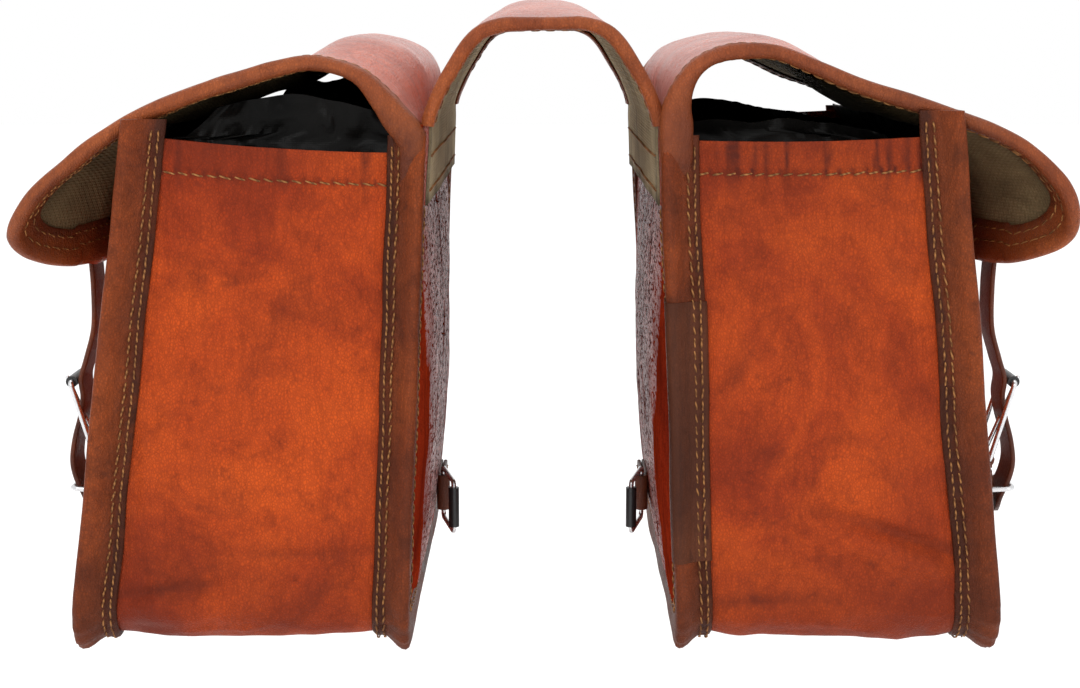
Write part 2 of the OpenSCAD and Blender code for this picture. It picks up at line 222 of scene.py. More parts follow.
def stitches(path, normals, pitch=STITCH, radius=0.5, slant=0.16, seed=1, share=0.78):
    """Thread stitches along a line on a surface: each dips into the leather at both ends."""
    total = lengths(path)[-1]
    count = max(1, int(total / pitch))
    at = (np.arange(count) + 0.5) * total / count
    draw = np.random.default_rng(seed)
    at = at + draw.normal(0, 0.12, count)
    centre, normal = along(path, at), unit(along(path, at, normals))
    tangent = unit(along(path, at + 1) - along(path, at - 1))
    side = unit(np.cross(normal, tangent))
    turn = slant + draw.normal(0, 0.05, count)
    t2 = tangent * np.cos(turn)[:, None] + side * np.sin(turn)[:, None]
    s2 = np.cross(normal, t2)
    half = pitch * share / 2 * (1 + draw.normal(0, 0.04, count))
    rings, sides = 7, 6
    x = np.linspace(-1, 1, rings)
    width = radius * np.sqrt(np.clip(1 - 0.72 * x**4, 0, 1))
    lift = radius * 0.35 * (1 - 2.6 * x**4)
    angle = np.arange(sides) * 2 * math.pi / sides
    v = (centre[:, None, None] + (half[:, None] * x)[:, :, None, None] * t2[:, None, None]
         + (width[:, None] * np.cos(angle))[None, :, :, None] * s2[:, None, None]
         + (lift[:, None] + width[:, None] * np.sin(angle))[None, :, :, None] * normal[:, None, None])
    one = tube_faces(rings, sides)
    faces = [[f + k * rings * sides for f in face] for k in range(count) for face in one]
    return v.reshape(-1, 3), faces


def joined(parts):
    verts, faces, start = [], [], 0
    for v, f in parts:
        verts.append(v)
        faces += [[int(i) + start for i in face] for face in f]
        start += len(v)
    return np.concatenate(verts), faces


def add(name, verts, faces, material, side, shade=None, body=None, bend=None, instead=(), sharp=60):
    """Makes a piece, mirrors it for the left pouch, and puts it on its body. shade darkens its points: one
    value each, or a shorter run that repeats, as for the two faces of a sheet."""
    verts = np.asarray(verts, float) * MM
    verts[:, 0] *= side
    faces = [list(map(int, f)) for f in faces]
    if side < 0:
        faces = [f[::-1] for f in faces]
    mesh = bpy.data.meshes.new(name)
    mesh.from_pydata(verts.tolist(), [], faces)
    mesh.validate()
    mesh.shade_smooth()
    mesh.set_sharp_from_angle(angle=math.radians(sharp))
    if shade is not None:
        layer = mesh.attributes.new("shade", "FLOAT", "POINT")
        layer.data.foreach_set("value", np.resize(shade, len(verts)).astype(np.float32))
    mesh.materials.append(material)
    piece = bpy.data.objects.new(name, mesh)
    bpy.context.collection.objects.link(piece)
    if instead:
        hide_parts(*instead)
    if bend:
        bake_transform(piece)
    else:
        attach(piece, body)
    return piece


def add_thread(name, rows, side, body=None, bend=None):
    verts, faces = joined(rows)
    add(name, verts, faces, THREAD, side, None, body, bend)


# ---- materials
class Nodes:
    """Small helper that wires one material's nodes."""

    def __init__(self, name):
        self.material = bpy.data.materials.new(name)
        self.material.use_nodes = True
        self.tree = self.material.node_tree
        self.shader = self.tree.nodes["Principled BSDF"]
        self.where = self.tree.nodes.new("ShaderNodeTexCoord").outputs["Object"]

    def make(self, kind, links=(), **values):
        node = self.tree.nodes.new(kind)
        for key, value in values.items():
            if hasattr(node, key):
                setattr(node, key, value)
            else:
                node.inputs[key.replace("_", " ")].default_value = value
        for socket, source in dict(links).items():
            self.tree.links.new(source, node.inputs[socket])
        return node

    def stretched(self, scale):
        return self.make("ShaderNodeMapping", {"Vector": self.where}, Scale=scale).outputs[0]

    def noise(self, scale, detail=6, roughness=0.6, distortion=0.0, vector=None):
        return self.make("ShaderNodeTexNoise", {"Vector": vector or self.where}, Scale=scale, Detail=detail,
                         Roughness=roughness, Distortion=distortion).outputs["Fac"]

    def ramp(self, source, low, high, to_low=0.0, to_high=1.0):
        node = self.make("ShaderNodeMapRange", {"Value": source})
        node.inputs["From Min"].default_value = low
        node.inputs["From Max"].default_value = high
        node.inputs["To Min"].default_value = to_low
        node.inputs["To Max"].default_value = to_high
        return node.outputs[0]

    def math(self, operation, a, b):
        node = self.make("ShaderNodeMath", operation=operation)
        for socket, value in zip(node.inputs, (a, b)):
            if isinstance(value, (int, float)):
                socket.default_value = value
            else:
                self.tree.links.new(value, socket)
        return node.outputs[0]

    def mix(self, share, a, b):
        node = self.make("ShaderNodeMix", data_type="RGBA")
        self.tree.links.new(share, node.inputs[0])
        for socket, value in ((node.inputs[6], a), (node.inputs[7], b)):
            if isinstance(value, tuple):
                socket.default_value = (*value, 1)
            else:
                self.tree.links.new(value, socket)
        return node.outputs[2]

    def put(self, socket, source):
        if isinstance(source, (int, float)):
            self.shader.inputs[socket].default_value = source
        else:
            self.tree.links.new(source, self.shader.inputs[socket])

    def bump(self, height, strength, distance, before=None):
        links = {"Height": height}
        if before:
            links["Normal"] = before
        return self.make("ShaderNodeBump", links, Strength=strength, Distance=distance).outputs[0]


def leather(name, light, base, dark, patch=0.5, gloss=(0.42, 0.66), coat=0.0, streak=None, grain=1.0,
            shine=0.14, waxed=False):
    """Burnished leather: cloudy colour at three scales, darker where the shade attribute says, pebbled grain
    and fine creases. shine is the specular level; waxed leather, which needs a streak, shines in streaks, and
    not where it is shaded."""
    n = Nodes(name)
    clouds = n.noise(13, 5, 0.62, 0.6)
    spots = n.noise(52, 8, 0.7, 1.0)
    colour = n.mix(n.ramp(clouds, 0.36, 0.64), base, light)
    dusk = n.ramp(n.noise(19, 7, 0.66, 1.4), 0.54, 0.72, 0, patch)
    colour = n.mix(dusk, colour, dark)
    blotch = n.ramp(n.math("MULTIPLY", spots, clouds), 0.27, 0.13, 0, patch)
    colour = n.mix(blotch, colour, dark)
    flecks = n.ramp(n.noise(150, 4, 0.5, 0.3), 0.64, 0.76, 0, 0.8 * patch)
    colour = n.mix(flecks, colour, dark)
    shade = n.make("ShaderNodeAttribute", attribute_name="shade").outputs["Fac"]
    uneven = n.math("MULTIPLY", shade, n.ramp(spots, 0.3, 0.62, 0.55, 1.2))
    colour = n.mix(n.ramp(uneven, 0, 1, 0, 0.3 if waxed else 1), colour, dark)
    warped = n.make("ShaderNodeVectorMath", {0: n.stretched((1.0, 1.0, 0.72))}, operation="ADD")
    swirl = n.make("ShaderNodeTexNoise", {"Vector": n.where}, Scale=240.0, Detail=2)
    small = n.make("ShaderNodeVectorMath", {0: swirl.outputs["Color"]}, operation="SCALE")
    small.inputs["Scale"].default_value = 0.0022
    n.tree.links.new(small.outputs[0], warped.inputs[1])
    cells = n.make("ShaderNodeTexVoronoi", {"Vector": warped.outputs[0]}, feature="DISTANCE_TO_EDGE",
                   Scale=PEBBLES).outputs[0]
    pores = n.ramp(cells, 0.0, 0.3)
    fine = n.noise(1300, 4, 0.6)
    creases = n.noise(130, 5, 0.62, 1.6, n.stretched((1.0, 1.0, 0.3)))
    lines = n.ramp(n.math("ABSOLUTE", n.math("SUBTRACT", creases, 0.5), 0), 0.0, 0.035)
    dents = n.math("MULTIPLY", n.ramp(pores, 0, 1, 0.35, 1.0), n.ramp(lines, 0, 1, 0.6, 1.0))
    colour = n.mix(n.ramp(dents, 1.0, 0.15, 0, 0.5 * min(grain, 1.0)), colour, dark)
    grained = n.math("MULTIPLY", pores, n.ramp(fine, 0.2, 0.8, 0.5, 1.0))
    height = n.math("ADD", grained, n.ramp(lines, 0, 1, 0, 0.7))
    if streak:
        long = n.noise(120, 6, 0.72, 0.35, n.stretched(streak))
        colour = n.mix(n.ramp(long, 0.5, 0.7, 0, 0.6), colour, dark)
        height = n.math("ADD", height, n.ramp(long, 0.36, 0.6, 1.6, 0))
    if waxed:
        bare = n.ramp(shade, 0.05, 0.75, 1, 0)
        grains = n.ramp(n.noise(760, 3, 0.6, 0.0, n.stretched((1.0, 0.25, 0.8))), 0.43, 0.57)
        colour = n.mix(n.math("MULTIPLY", n.ramp(grains, 0, 1, 0.85, 0), bare), colour, dark)
        streaks = n.ramp(long, 0.6, 0.4, 0.0, shine)
        shine = n.math("MULTIPLY", n.math("MULTIPLY", streaks, bare), grains)
    n.put("Base Color", colour)
    worn = n.math("ADD", spots, n.math("MULTIPLY", dents, 0.2))
    n.put("Roughness", n.ramp(worn, 0.4, 0.8, gloss[1], gloss[0]))
    normal = n.bump(height, 0.45 * grain, 0.0005)
    n.put("Normal", n.bump(n.noise(300, 5, 0.65), 0.3 * grain, 0.0006, normal))
    n.put("Coat Weight", coat)
    n.put("Coat Roughness", 0.3)
    if coat:
        n.put("Coat Normal", normal)
    n.put("Specular IOR Level", shine)
    return n.material


def cloth(name, light, dark, weave=1500.0, roughness=0.9, stains=0.5, shine=0.1, relief=0.5):
    """Plain weave: crossed waves for the threads, over a stained base colour."""
    n = Nodes(name)
    stain = n.noise(24, 6, 0.65, 0.8)
    colour = n.mix(n.ramp(stain, 0.35, 0.68, 0, stains + 0.4), light, dark)
    threads = []
    for axis in ("X", "Y", "Z"):
        wave = n.make("ShaderNodeTexWave", {"Vector": n.where}, bands_direction=axis, Scale=weave / 6.3)
        wave.inputs["Distortion"].default_value = 1.2
        wave.inputs["Detail Scale"].default_value = 3.0
        threads.append(wave.outputs["Fac"])
    woven = n.math("MULTIPLY", n.math("ADD", threads[0], threads[1]), n.math("ADD", threads[2], 0.25))
    colour = n.mix(n.ramp(woven, 0.0, 1.6, relief, 0.0), colour, dark)
    colour = n.mix(n.ramp(n.noise(1500, 3, 0.6), 0.45, 0.7, 0, relief), colour, dark)
    shade = n.make("ShaderNodeAttribute", attribute_name="shade").outputs["Fac"]
    colour = n.mix(shade, colour, tuple(v * 0.3 for v in dark))
    n.put("Base Color", colour)
    n.put("Roughness", roughness)
    normal = n.bump(woven, relief, 0.0003)
    n.put("Normal", n.bump(n.noise(160, 6, 0.7), 0.3, 0.0006, normal))
    n.put("Specular IOR Level", shine)
    return n.material


def metal(name, colour, roughness, metallic=1.0):
    n = Nodes(name)
    scuffs = n.noise(900, 4, 0.6)
    n.put("Base Color", n.mix(n.ramp(scuffs, 0.4, 0.8, 0, 0.35), colour, tuple(v * 0.55 for v in colour)))
    n.put("Roughness", n.ramp(scuffs, 0.3, 0.8, roughness, roughness + 0.18))
    n.put("Metallic", metallic)
    n.put("Normal", n.bump(scuffs, 0.08, 0.0002))
    return n.material


def thread_material():
    n = Nodes("thread")
    wave = n.make("ShaderNodeTexWave", {"Vector": n.where}, bands_direction="DIAGONAL", Scale=210.0)
    twist = wave.outputs["Fac"]
    colour = n.mix(twist, (0.13, 0.05, 0.016), (0.38, 0.17, 0.055))
    n.put("Base Color", n.mix(n.ramp(n.noise(60, 4, 0.6), 0.4, 0.7, 0, 0.65), colour, (0.09, 0.034, 0.012)))
    n.put("Roughness", 0.75)
    n.put("Specular IOR Level", 0.2)
    n.put("Normal", n.bump(twist, 0.7, 0.0003))
    return n.material


ORANGE = leather("panel_leather", (0.57, 0.080, 0.010), (0.38, 0.041, 0.007), (0.085, 0.014, 0.007),
                 shine=0.09)
FLAP = leather("flap_leather", (0.72, 0.165, 0.08), (0.56, 0.105, 0.043), (0.18, 0.024, 0.016), patch=0.45,
               gloss=(0.22, 0.38), coat=0.6, streak=(0.2, 3.0, 0.2), shine=0.5)
BACK = leather("back_leather", (0.60, 0.052, 0.011), (0.46, 0.034, 0.008), (0.06, 0.009, 0.006), patch=0.4,
               gloss=(0.24, 0.46), streak=(1.3, 1.3, 0.22), grain=2.2, shine=0.75, waxed=True)
BINDING = leather("binding_leather", (0.29, 0.058, 0.012), (0.185, 0.033, 0.008), (0.05, 0.013, 0.006),
                  patch=0.65, grain=1.2, shine=0.13)
# Lighter copy of the binding leather for the edges of the flaps and the bridge: painted light on their tops.
EDGE = leather("lit_edge_leather", (0.42, 0.105, 0.026), (0.30, 0.062, 0.015), (0.10, 0.022, 0.008),
               gloss=(0.36, 0.6), grain=1.1, shine=0.2)
DARK = leather("dark_leather", (0.14, 0.040, 0.016), (0.095, 0.026, 0.011), (0.035, 0.011, 0.006),
               gloss=(0.4, 0.6), streak=(3.0, 3.0, 0.3), grain=0.8, shine=0.12)
STRAP = leather("strap_leather", (0.32, 0.08, 0.025), (0.19, 0.04, 0.012), (0.05, 0.014, 0.008), patch=0.6,
                gloss=(0.34, 0.55), coat=0.1, grain=0.9, shine=0.25)
CANVAS = cloth("canvas", (0.28, 0.20, 0.10), (0.10, 0.07, 0.035))
# Lighter copy of the canvas for the underside of the bridge: painted light.
LIT_CANVAS = cloth("lit_canvas", (0.56, 0.45, 0.28), (0.25, 0.19, 0.11))
LINING = cloth("lining_cloth", (0.006, 0.0055, 0.005), (0.0015, 0.0015, 0.0015), weave=2600.0, roughness=0.3,
               stains=0.4, shine=0.07, relief=0.1)
STEEL = metal("wire_steel", (0.72, 0.72, 0.73), 0.2)
BLACK = metal("black_metal", (0.012, 0.012, 0.013), 0.28, 0.0)
THREAD = thread_material()


# ---- lines that pieces share
def u_path(spacing, top, half=HALF, low=FLOOR, r=CORNER_R):
    """From the near mouth down, along the floor and up the far end: points (y, z) and outward normals."""
    corner = np.radians(np.linspace(180, 270, 19))
    near = [(-half, z) for z in np.linspace(top, low + r, 60)[:-1]]
    turn = [(-half + r + r * math.cos(a), low + r + r * math.sin(a)) for a in corner]
    line = np.array(near + turn + [(0.0, low)])
    line = np.concatenate([line, (line * (-1, 1))[::-1][1:]])
    line = resample(line, spacing)
    tangent = unit(np.gradient(line, axis=0))
    return line, np.stack([tangent[:, 1], -tangent[:, 0]], -1)


def u_wall(line2, normals2, low_x, high_x, share):
    """Grid of points across a U-shaped strip, from low_x to high_x, and its outward normals."""
    x = low_x[:, None] + (high_x - low_x)[:, None] * share[None]
    p = np.stack([x, np.repeat(line2[:, :1], len(share), 1), np.repeat(line2[:, 1:], len(share), 1)], -1)
    n = np.stack([np.zeros(len(line2)), normals2[:, 0], normals2[:, 1]], -1)
    return p, np.repeat(n[:, None], len(share), 1)


def panel_rows(z_top, floor, half, r, count, turns):
    """Levels of a panel's rows and half its width at each, with round corners at the floor."""
    turn = np.radians(np.linspace(0, 90, turns))
    rows = np.concatenate([np.linspace(z_top, floor + r, count)[:-1], floor + r - r * np.sin(turn)])
    return rows, np.concatenate([np.full(count - 1, half), half - r + r * np.cos(turn)])


def lifted(line2, normals2, x):
    """The same line and normals as points in space, at x."""
    zero = np.zeros(len(line2))
    return (np.stack([x, line2[:, 0], line2[:, 1]], -1),
            np.stack([zero, normals2[:, 0], normals2[:, 1]], -1))


# Sections of the flap: where the straps pull it down, and at its ends, where it stands out like a wing
PULLED = smooth_line([(49, -43), (49.4, -31), (51, -20.5), (56.5, -12), (65, -7.3), (76, -4.6), (90, -3.2),
                      (103, -5.5), (116, -12), (128, -20.5), (141, -29.5), (155, -37), (169, -44),
                      (179, -51.5), (186.5, -60), (191, -70), (194, -81), (194.8, -91), (194, -100)])
WINGED = {-1: smooth_line([(49, -43), (52, -38), (56.5, -33.5), (62.5, -27), (72, -19), (82.4, -14.4),
                           (94.6, -12.4), (108, -14.5), (119, -17.6), (140, -24.3), (162, -33), (180, -43),
                           (196, -55), (211, -69), (220, -82), (220.5, -92), (216, -100)]),
          1: smooth_line([(49, -43), (50, -33), (54, -24), (60.5, -15.5), (70, -10), (83, -7.8), (97, -9),
                          (112, -14.6), (126, -20.6), (142, -25.7), (160, -31.6), (181, -39), (199, -48.5),
                          (213.5, -61.5), (220, -75), (219.5, -87), (212.5, -96.5)])}
BRIDGE_UNDER = smooth_line([(0, 0), (9, 0), (16, -0.2), (24, -2.6), (29.5, -7.5), (35, -16), (41, -26.5),
                            (back_x(-38) - 3.3, -38), (back_x(-47) - 3.3, -47), (back_x(-60) - 3.3, -60),
                            (back_x(-72) - 3.3, -72)])


def flap_points(side, u, y):
    """Middle surface of the flap at a distance u along its section and at y along the bag."""
    share = u / U_END
    pulled = along(PULLED, share * lengths(PULLED)[-1])
    winged = along(WINGED[side], share * lengths(WINGED[side])[-1])
    a = np.abs(y)
    wing = step(64, 120, a) + 0.2 * (1 - step(8, 48, a)) * step(0.55, 0.95, share)
    p = pulled * (1 - wing[..., None]) + winged * wing[..., None]
    crown = 1.2 * (1 - step(20, 110, a)) * np.sin(np.pi * np.clip(share * 1.8, 0, 1))
    if side < 0:
        crown = crown - 13 * np.exp(-((p[..., 0] - 113) / 19) ** 2) * (1 - wing)
    return np.stack([p[..., 0], y, p[..., 1] + crown], -1)


U_END = lengths(PULLED)[-1]


def flap_grid(side, seed, inset=0.0):
    """Outer surface of the flap and its normals. Grids with different insets match point for point."""
    end = U_END - inset
    r = FLAP_CORNER_R - inset
    half = FLAP_HALF - inset
    turn = np.radians(np.linspace(0, 90, 26))
    straight = np.linspace(0, end - r, 86)
    rows = np.concatenate([straight[:-1], end - r + r * np.sin(turn)])
    reach = np.concatenate([np.full(len(straight) - 1, half), half - r + r * np.cos(turn)])
    share = rows / U_END
    beside = along(WINGED[side], share * lengths(WINGED[side])[-1])[:, 0]
    reach = reach - 4.5 * np.exp(-((beside - 162) / 16) ** 2)
    across = np.linspace(-1, 1, 121)
    u = np.repeat(rows[:, None], len(across), 1)
    p = flap_points(side, u, reach[:, None] * across[None])
    n = grid_normals(p)
    n = n if n[20, 60, 2] > 0 else -n
    q = p * (side, 1, 1)
    return p + n * (0.8 * rough(q, 55, seed, 3) + 0.22 * rough(q, 13, seed + 5, 2))[..., None], n


def rim(grid):
    """The near, front and far edges of a grid in one line."""
    return np.concatenate([grid[:-1, 0], grid[-1, :], grid[:-1, -1][::-1]])


def flap_rim(side, seed, insets=(0, 4, 8, 12, 16)):
    """Points and normals along the flap's edge, at several distances in from it, and the way out from it."""
    lines = [[rim(v) for v in flap_grid(side, seed, inset)] for inset in insets]
    path = lines[0][0]
    keep = np.concatenate([[True], np.linalg.norm(np.diff(path, axis=0), axis=1) > 0.05])
    total = lengths(path[keep])[-1]
    at = np.linspace(0, total, int(total / RIM_PITCH))
    points, normals = [[along(path[keep], at, v[keep]) for v in column] for column in zip(*lines)]
    out = unit(points[0] - points[1])
    return np.array(points), np.array([unit(v) for v in normals]), out


def on_rim(points, normals, out, inward, height):
    """A line at a distance in from the flap's edge and a height above it. Both may vary along it."""
    inward, height = np.broadcast_to(inward, len(out)), np.broadcast_to(height, len(out))
    k = np.clip(inward / 4, 0, len(points) - 1.001)
    low, f = k.astype(int), (k - k.astype(int))[:, None]
    i = np.arange(len(out))
    p = points[low, i] * (1 - f) + points[low + 1, i] * f
    n = unit(normals[low, i] * (1 - f) + normals[low + 1, i] * f)
    return p + out * np.maximum(-inward, 0)[:, None] + n * height[:, None], n


# ---- pieces of one pouch
# Level below the mouth, tilt, bow, where along the width, reach and depth of each crease
CREASES = {-1: [(170, -10, 5, 0.3, 0.32, 1.4), (190, 12, -3, 0.75, 0.34, 1.6)],
           1: [(166, 30, -9, 0.72, 0.36, 2.8), (190, -14, 3, 0.22, 0.3, 1.4)]}


def gusset(side, name, pouch):
    line, n2 = u_path(1.7, MOUTH)
    share = np.linspace(0, 1, 84)
    z = line[:, 1]
    low_x, high_x = back_x(z) + 1.5, front_x(z, side) - 1.5
    p, n = u_wall(line, n2, low_x, high_x, share)
    seed = 40 if side > 0 else 70
    q = p * (side, 1, 1)
    depth = MOUTH - p[..., 2]
    w = share[None]
    on_end = step(0.6, 0.95, np.abs(n[..., 1]))
    belly = 2.4 * np.sin(np.pi * w) * step(8, 70, depth)
    folds = step(130, 190, depth) * (0.4 + 0.6 * on_end)
    wrinkle = folds * 1.5 * ridges(q, (46, 60, 13), seed) ** 3
    tuck = step(70, 130, depth) * np.exp(-((w - 0.86) / 0.05) ** 2) * 1.3 * ridges(q, (9, 60, 60), seed + 5)
    swell = 1.1 * rough(q, 38, seed + 9, 3) + 0.25 * rough(q, 9, seed + 12, 2)
    stitched = on_end * np.exp(-((depth - HEM) / 1.3) ** 2) * 0.9
    hem = on_end * 0.9 * (1 - step(HEM - 1, HEM + 1.5, depth))
    puckers = on_end * np.exp(-((depth - HEM) / 7.0) ** 2) * 0.35 * np.sin(p[..., 0] * 2 * math.pi / 11.5)
    crease = 0
    for level, tilt, bow, place, reach, deep in CREASES[side]:
        middle = level + tilt * (w - 0.5) + bow * np.sin(np.pi * w) + 2 * noise(q, 30, seed + int(level))
        t = (depth - middle) / 6
        fade = np.clip(1 - ((w - place) / reach) ** 2, 0, 1) ** 0.8
        fold = 1.5 * np.exp(-((t - 1.5) / 1.3) ** 2) - np.exp(-(t / 0.6) ** 2)
        crease = crease + on_end * fade * deep * fold
    gathers = on_end * (1 - step(HEM + 4, HEM + 26, depth)) * 0.35 * noise(q, (3.4, 60, 30), seed + 30)
    d = belly + wrinkle + tuck + swell * step(0, 30, depth + 12) + hem - stitched + puckers + crease + gathers
    inside = np.minimum(w, 1 - w) * (high_x - low_x)[:, None]
    d = d * step(9, 27, inside) - 0.5 * (1 - step(10, 20, inside))
    p = p + n * d[..., None]
    sag = (7.5 if side < 0 else 2.0) * (1 - w) + 1.5 * np.sin(np.pi * w)
    p[..., 2] -= sag * (1 - step(0, 75, depth)) * on_end
    verts, faces, _ = thick_sheet(p, 0.0, -LEATHER, n)
    near_edge = np.maximum(1 - step(0, 0.13, w), 0.8 * (1 - step(0, 0.16, 1 - w)))
    shade = 0.55 * near_edge + 0.5 * step(150, 215, depth) * (0.6 + 0.4 * rough(q, 30, seed + 20, 2))
    cloud = 0.5 + 0.5 * noise(q, (30, 40, 40), seed + 3)
    shade += 0.5 * np.exp(-((w - 0.82) / 0.16) ** 2) * step(70, 190, depth) * cloud
    shade += 0.2 * (1 - step(0, HEM + 10, depth)) * on_end
    # Painted shade: fine dark vertical lines for the gathers above the hem.
    gather_shade = step(0.1, 0.8, noise(q, (2.6, 60, 26), seed + 31))
    shade += 0.5 * (1 - step(HEM - 3, HEM + 14, depth)) * on_end * gather_shade
    # Painted shade in the creases.
    shade += 0.3 * np.clip(-crease, 0, 1)
    # Painted shade: dark dots for the stitch holes along the hem.
    hem_x = p[..., 0] - p[:, 8:9, 0]
    sewn = np.ptp(p[..., 0], axis=1)[:, None] * 65 / 83
    count = np.maximum(1, (sewn / STITCH).astype(int))
    holes = np.abs(np.cos(np.pi * hem_x / (sewn / count))) ** 8
    shade += on_end * np.exp(-((depth - HEM) / 1.6) ** 2) * holes * 0.9
    if side > 0:
        shade += 0.08 + 0.2 * (1 - step(25, 95, depth)) * on_end
    shade = np.clip(shade, 0, 1)
    add(name + "gusset_shell", verts, faces, ORANGE, side, shade, pouch,
        instead=[name + "gusset"])
    rows = []
    for end, way in ((0, -1), (1, 1)):
        row = int(np.argmin(np.abs((MOUTH - z) - HEM) + 1000 * (line[:, 0] * way < 0)))
        path = p[row, 8:-10] + n[row, 8:-10] * 0.2
        rows.append(stitches(path, n[row, 8:-10], seed=seed + end, slant=0.2, radius=0.42, share=0.86))
    add_thread(name + "hem_stitches", rows, side, pouch)


FRONT_PROFILE = [(-16, -0.4), (-16.3, 0.6), (-15.6, 1.5), (-13.6, 1.9), (-11.5, 1.6), (-9.5, 1.9),
                 (-7.2, 3.3), (-4.8, 5.2), (-2.4, 6.6), (-0.4, 6.9), (1.2, 6.0), (1.9, 4.2), (1.9, 1.8),
                 (1.5, -1.5), (1.3, -5), (1.4, -8), (1.5, -11), (1.2, -12.6), (0.1, -13),
                 (-2, -10), (-4, -4), (-8, -1)]


def binding_ring(side, name, pouch, node, front, top, seed):
    line, n2 = u_path(2.0, top)
    if front:
        high = (line[:, 0] > 0) & (line[:, 1] > MOUTH - 20)
        line[high, 1] = MOUTH - 20 + (line[high, 1] - MOUTH + 20) * 22 / (top - MOUTH + 20)
    z = line[:, 1]
    x = front_x(z, side) if front else back_x(z)
    origin, normal = lifted(line, n2, x)
    q = origin * (side, 1, 1)
    flip = 1 if front else -1
    profile = np.array(FRONT_PROFILE) * (flip, 1)
    width = (1 if front else 0.87) + 0.05 * noise(q, 24, seed)[:, None]
    lift = 1 + 0.10 * noise(q, 17, seed + 1)[:, None]
    if not front:
        lift = lift - 0.12 * step(-56, -47, z)[:, None]
    outline = np.stack([profile[None, :, 0] * width, profile[None, :, 1] * lift], -1)
    corner = step(0.08, 0.5, np.abs(n2[:, 0] * n2[:, 1]) * 2)
    pleat = 0.55 * np.sin(lengths(line) * 2 * math.pi / 7.5)
    outline[..., 1] += (corner * pleat)[:, None] * np.clip(profile[None, :, 1] / 5, 0, 1)
    outline[..., 0] += (0.7 * noise(q, 40, seed + 2))[:, None]
    across = np.repeat([[1.0, 0, 0]], len(x), 0)
    verts, faces = sweep(origin, across, normal, outline)
    lumps = verts * (side, 1, 1)
    folded = np.tile(0.22 + 0.4 * (np.abs(profile[:, 0]) > 8) * (profile[:, 1] > 0.5), len(x))
    raised = folded * rough(lumps, 6, seed + 11, 2) + 0.3 * noise(lumps, 19, seed + 12)
    verts = verts + np.repeat(normal, len(profile), 0) * raised[:, None]
    height = np.repeat(profile[None, :, 1], len(x), 0)
    inner = np.repeat(np.abs(profile[None, :, 0]), len(x), 0)
    low_down = step(FLOOR + 60, FLOOR, z)[:, None]
    shade = 0.75 * step(8, 15, inner) + 0.25 - 0.25 * step(3, 6.5, height) + 0.35 * low_down
    tone = 0.16 if (side > 0) == front else -0.06
    # The back binding is lighter towards its top: painted light, matching the lighter edge leather where the
    # flaps' edges meet it.
    if not front:
        tone = tone - 0.18 * step(-112, -62, z)[:, None]
    shade = np.clip(shade + tone + 0.25 * noise(q, 33, seed + 4)[:, None], 0, 1)
    label = "front" if front else "back"
    add(f"{name}{label}_bound_seam", verts, faces, BINDING, side, shade, pouch,
        instead=[node])
    rows = []
    for a, b, tilt in ((-10.7, 1.75, 0.14), (-13.9, 2.0, -0.08), (1.6, -8.5, 0.1)):
        lift_here = lift[:, 0] * b + (0.45 if b > 0 else 0)
        spot = origin + across * (flip * a * width[:, 0])[:, None] + normal * lift_here[:, None]
        spot[:, 0] += 0.7 * noise(q, 40, seed + 2)
        up = normal if b > 0 else across * flip
        rows.append(stitches(spot[2:-2], up[2:-2], 5.2, 0.4, tilt, seed + int(a), 0.84))
    add_thread(f"{name}{label}_seam_stitches", rows, side, pouch)
    return origin, normal, outline


def crowned(side, z_top, plane, crown, seed, dip=0.0):
    """Grid for a panel with round corners at the floor, its top edge lower by dip in the middle."""
    rows, reach = panel_rows(z_top, FLOOR, HALF, CORNER_R, 74, 12)
    across = np.linspace(-1, 1, 101)
    y = reach[:, None] * across[None]
    z = np.repeat(rows[:, None], len(across), 1)
    z = z - dip * np.cos(np.pi / 2 * across[None]) ** 0.6 * step(z_top - 40, z_top, z)
    x = plane(z) + crown(z) * (1 - np.abs(across[None]) ** 4)
    p = np.stack([x, y, z], -1)
    q = p * (side, 1, 1)
    edge = np.minimum(1, 7 * (1 - np.abs(across[None])) + 0.05)
    p[..., 0] += edge * (0.9 * rough(q, 44, seed, 3) + 0.15 * rough(q, 9, seed + 7, 2))
    return p, across, z


def front_panel(side, name, pouch):
    seed = 110 if side > 0 else 130
    top = MOUTH - 2

    def crown(z):
        bow = 8.5 * np.sin(np.radians(np.clip(20 + 160 * (top - z) / (top - FLOOR), 0, 180))) ** 0.8
        return bow - slump(z, side)

    p, across, z = crowned(side, top, lambda v: front_x(v, side) - 1.0, crown, seed, 10)
    verts, faces, _ = thick_sheet(p, 0.0, -LEATHER, np.array([1.0, 0, 0]))
    shade = np.clip(0.8 * step(0.72, 1, np.abs(across))[None] + 0.5 * step(FLOOR + 50, FLOOR, z)
                    + 0.2 * noise(p, 50, seed), 0, 1)
    add(name + "front_sheet", verts, faces, ORANGE, side, shade, pouch,
        instead=[name + "front_panel"])


def back_panel(side, name, pouch):
    seed = 150 if side > 0 else 170
    wear = -75

    def crown(z):
        return -7 * np.sin(np.pi * np.clip((wear - z) / (wear - FLOOR), 0, 1)) ** 0.7

    p, across, z = crowned(side, MOUTH + 4, lambda v: back_x(v) + 0.3, crown, seed)
    verts, faces, _ = thick_sheet(p, 0.0, -LEATHER, np.array([-1.0, 0, 0]))
    deep = step(-50, -190, z)
    ragged = 0.25 * noise(p, (40, 14, 22), seed)
    band = np.clip((np.abs(across)[None] - 0.72 + 0.34 * deep) / 0.32 + ragged, 0, 1)
    shade = np.clip(0.95 * band + 0.4 * step(FLOOR + 40, FLOOR, z), 0, 1)
    add(name + "back_sheet", verts, faces, BACK, side, shade, pouch,
        instead=[name + "back_panel"])


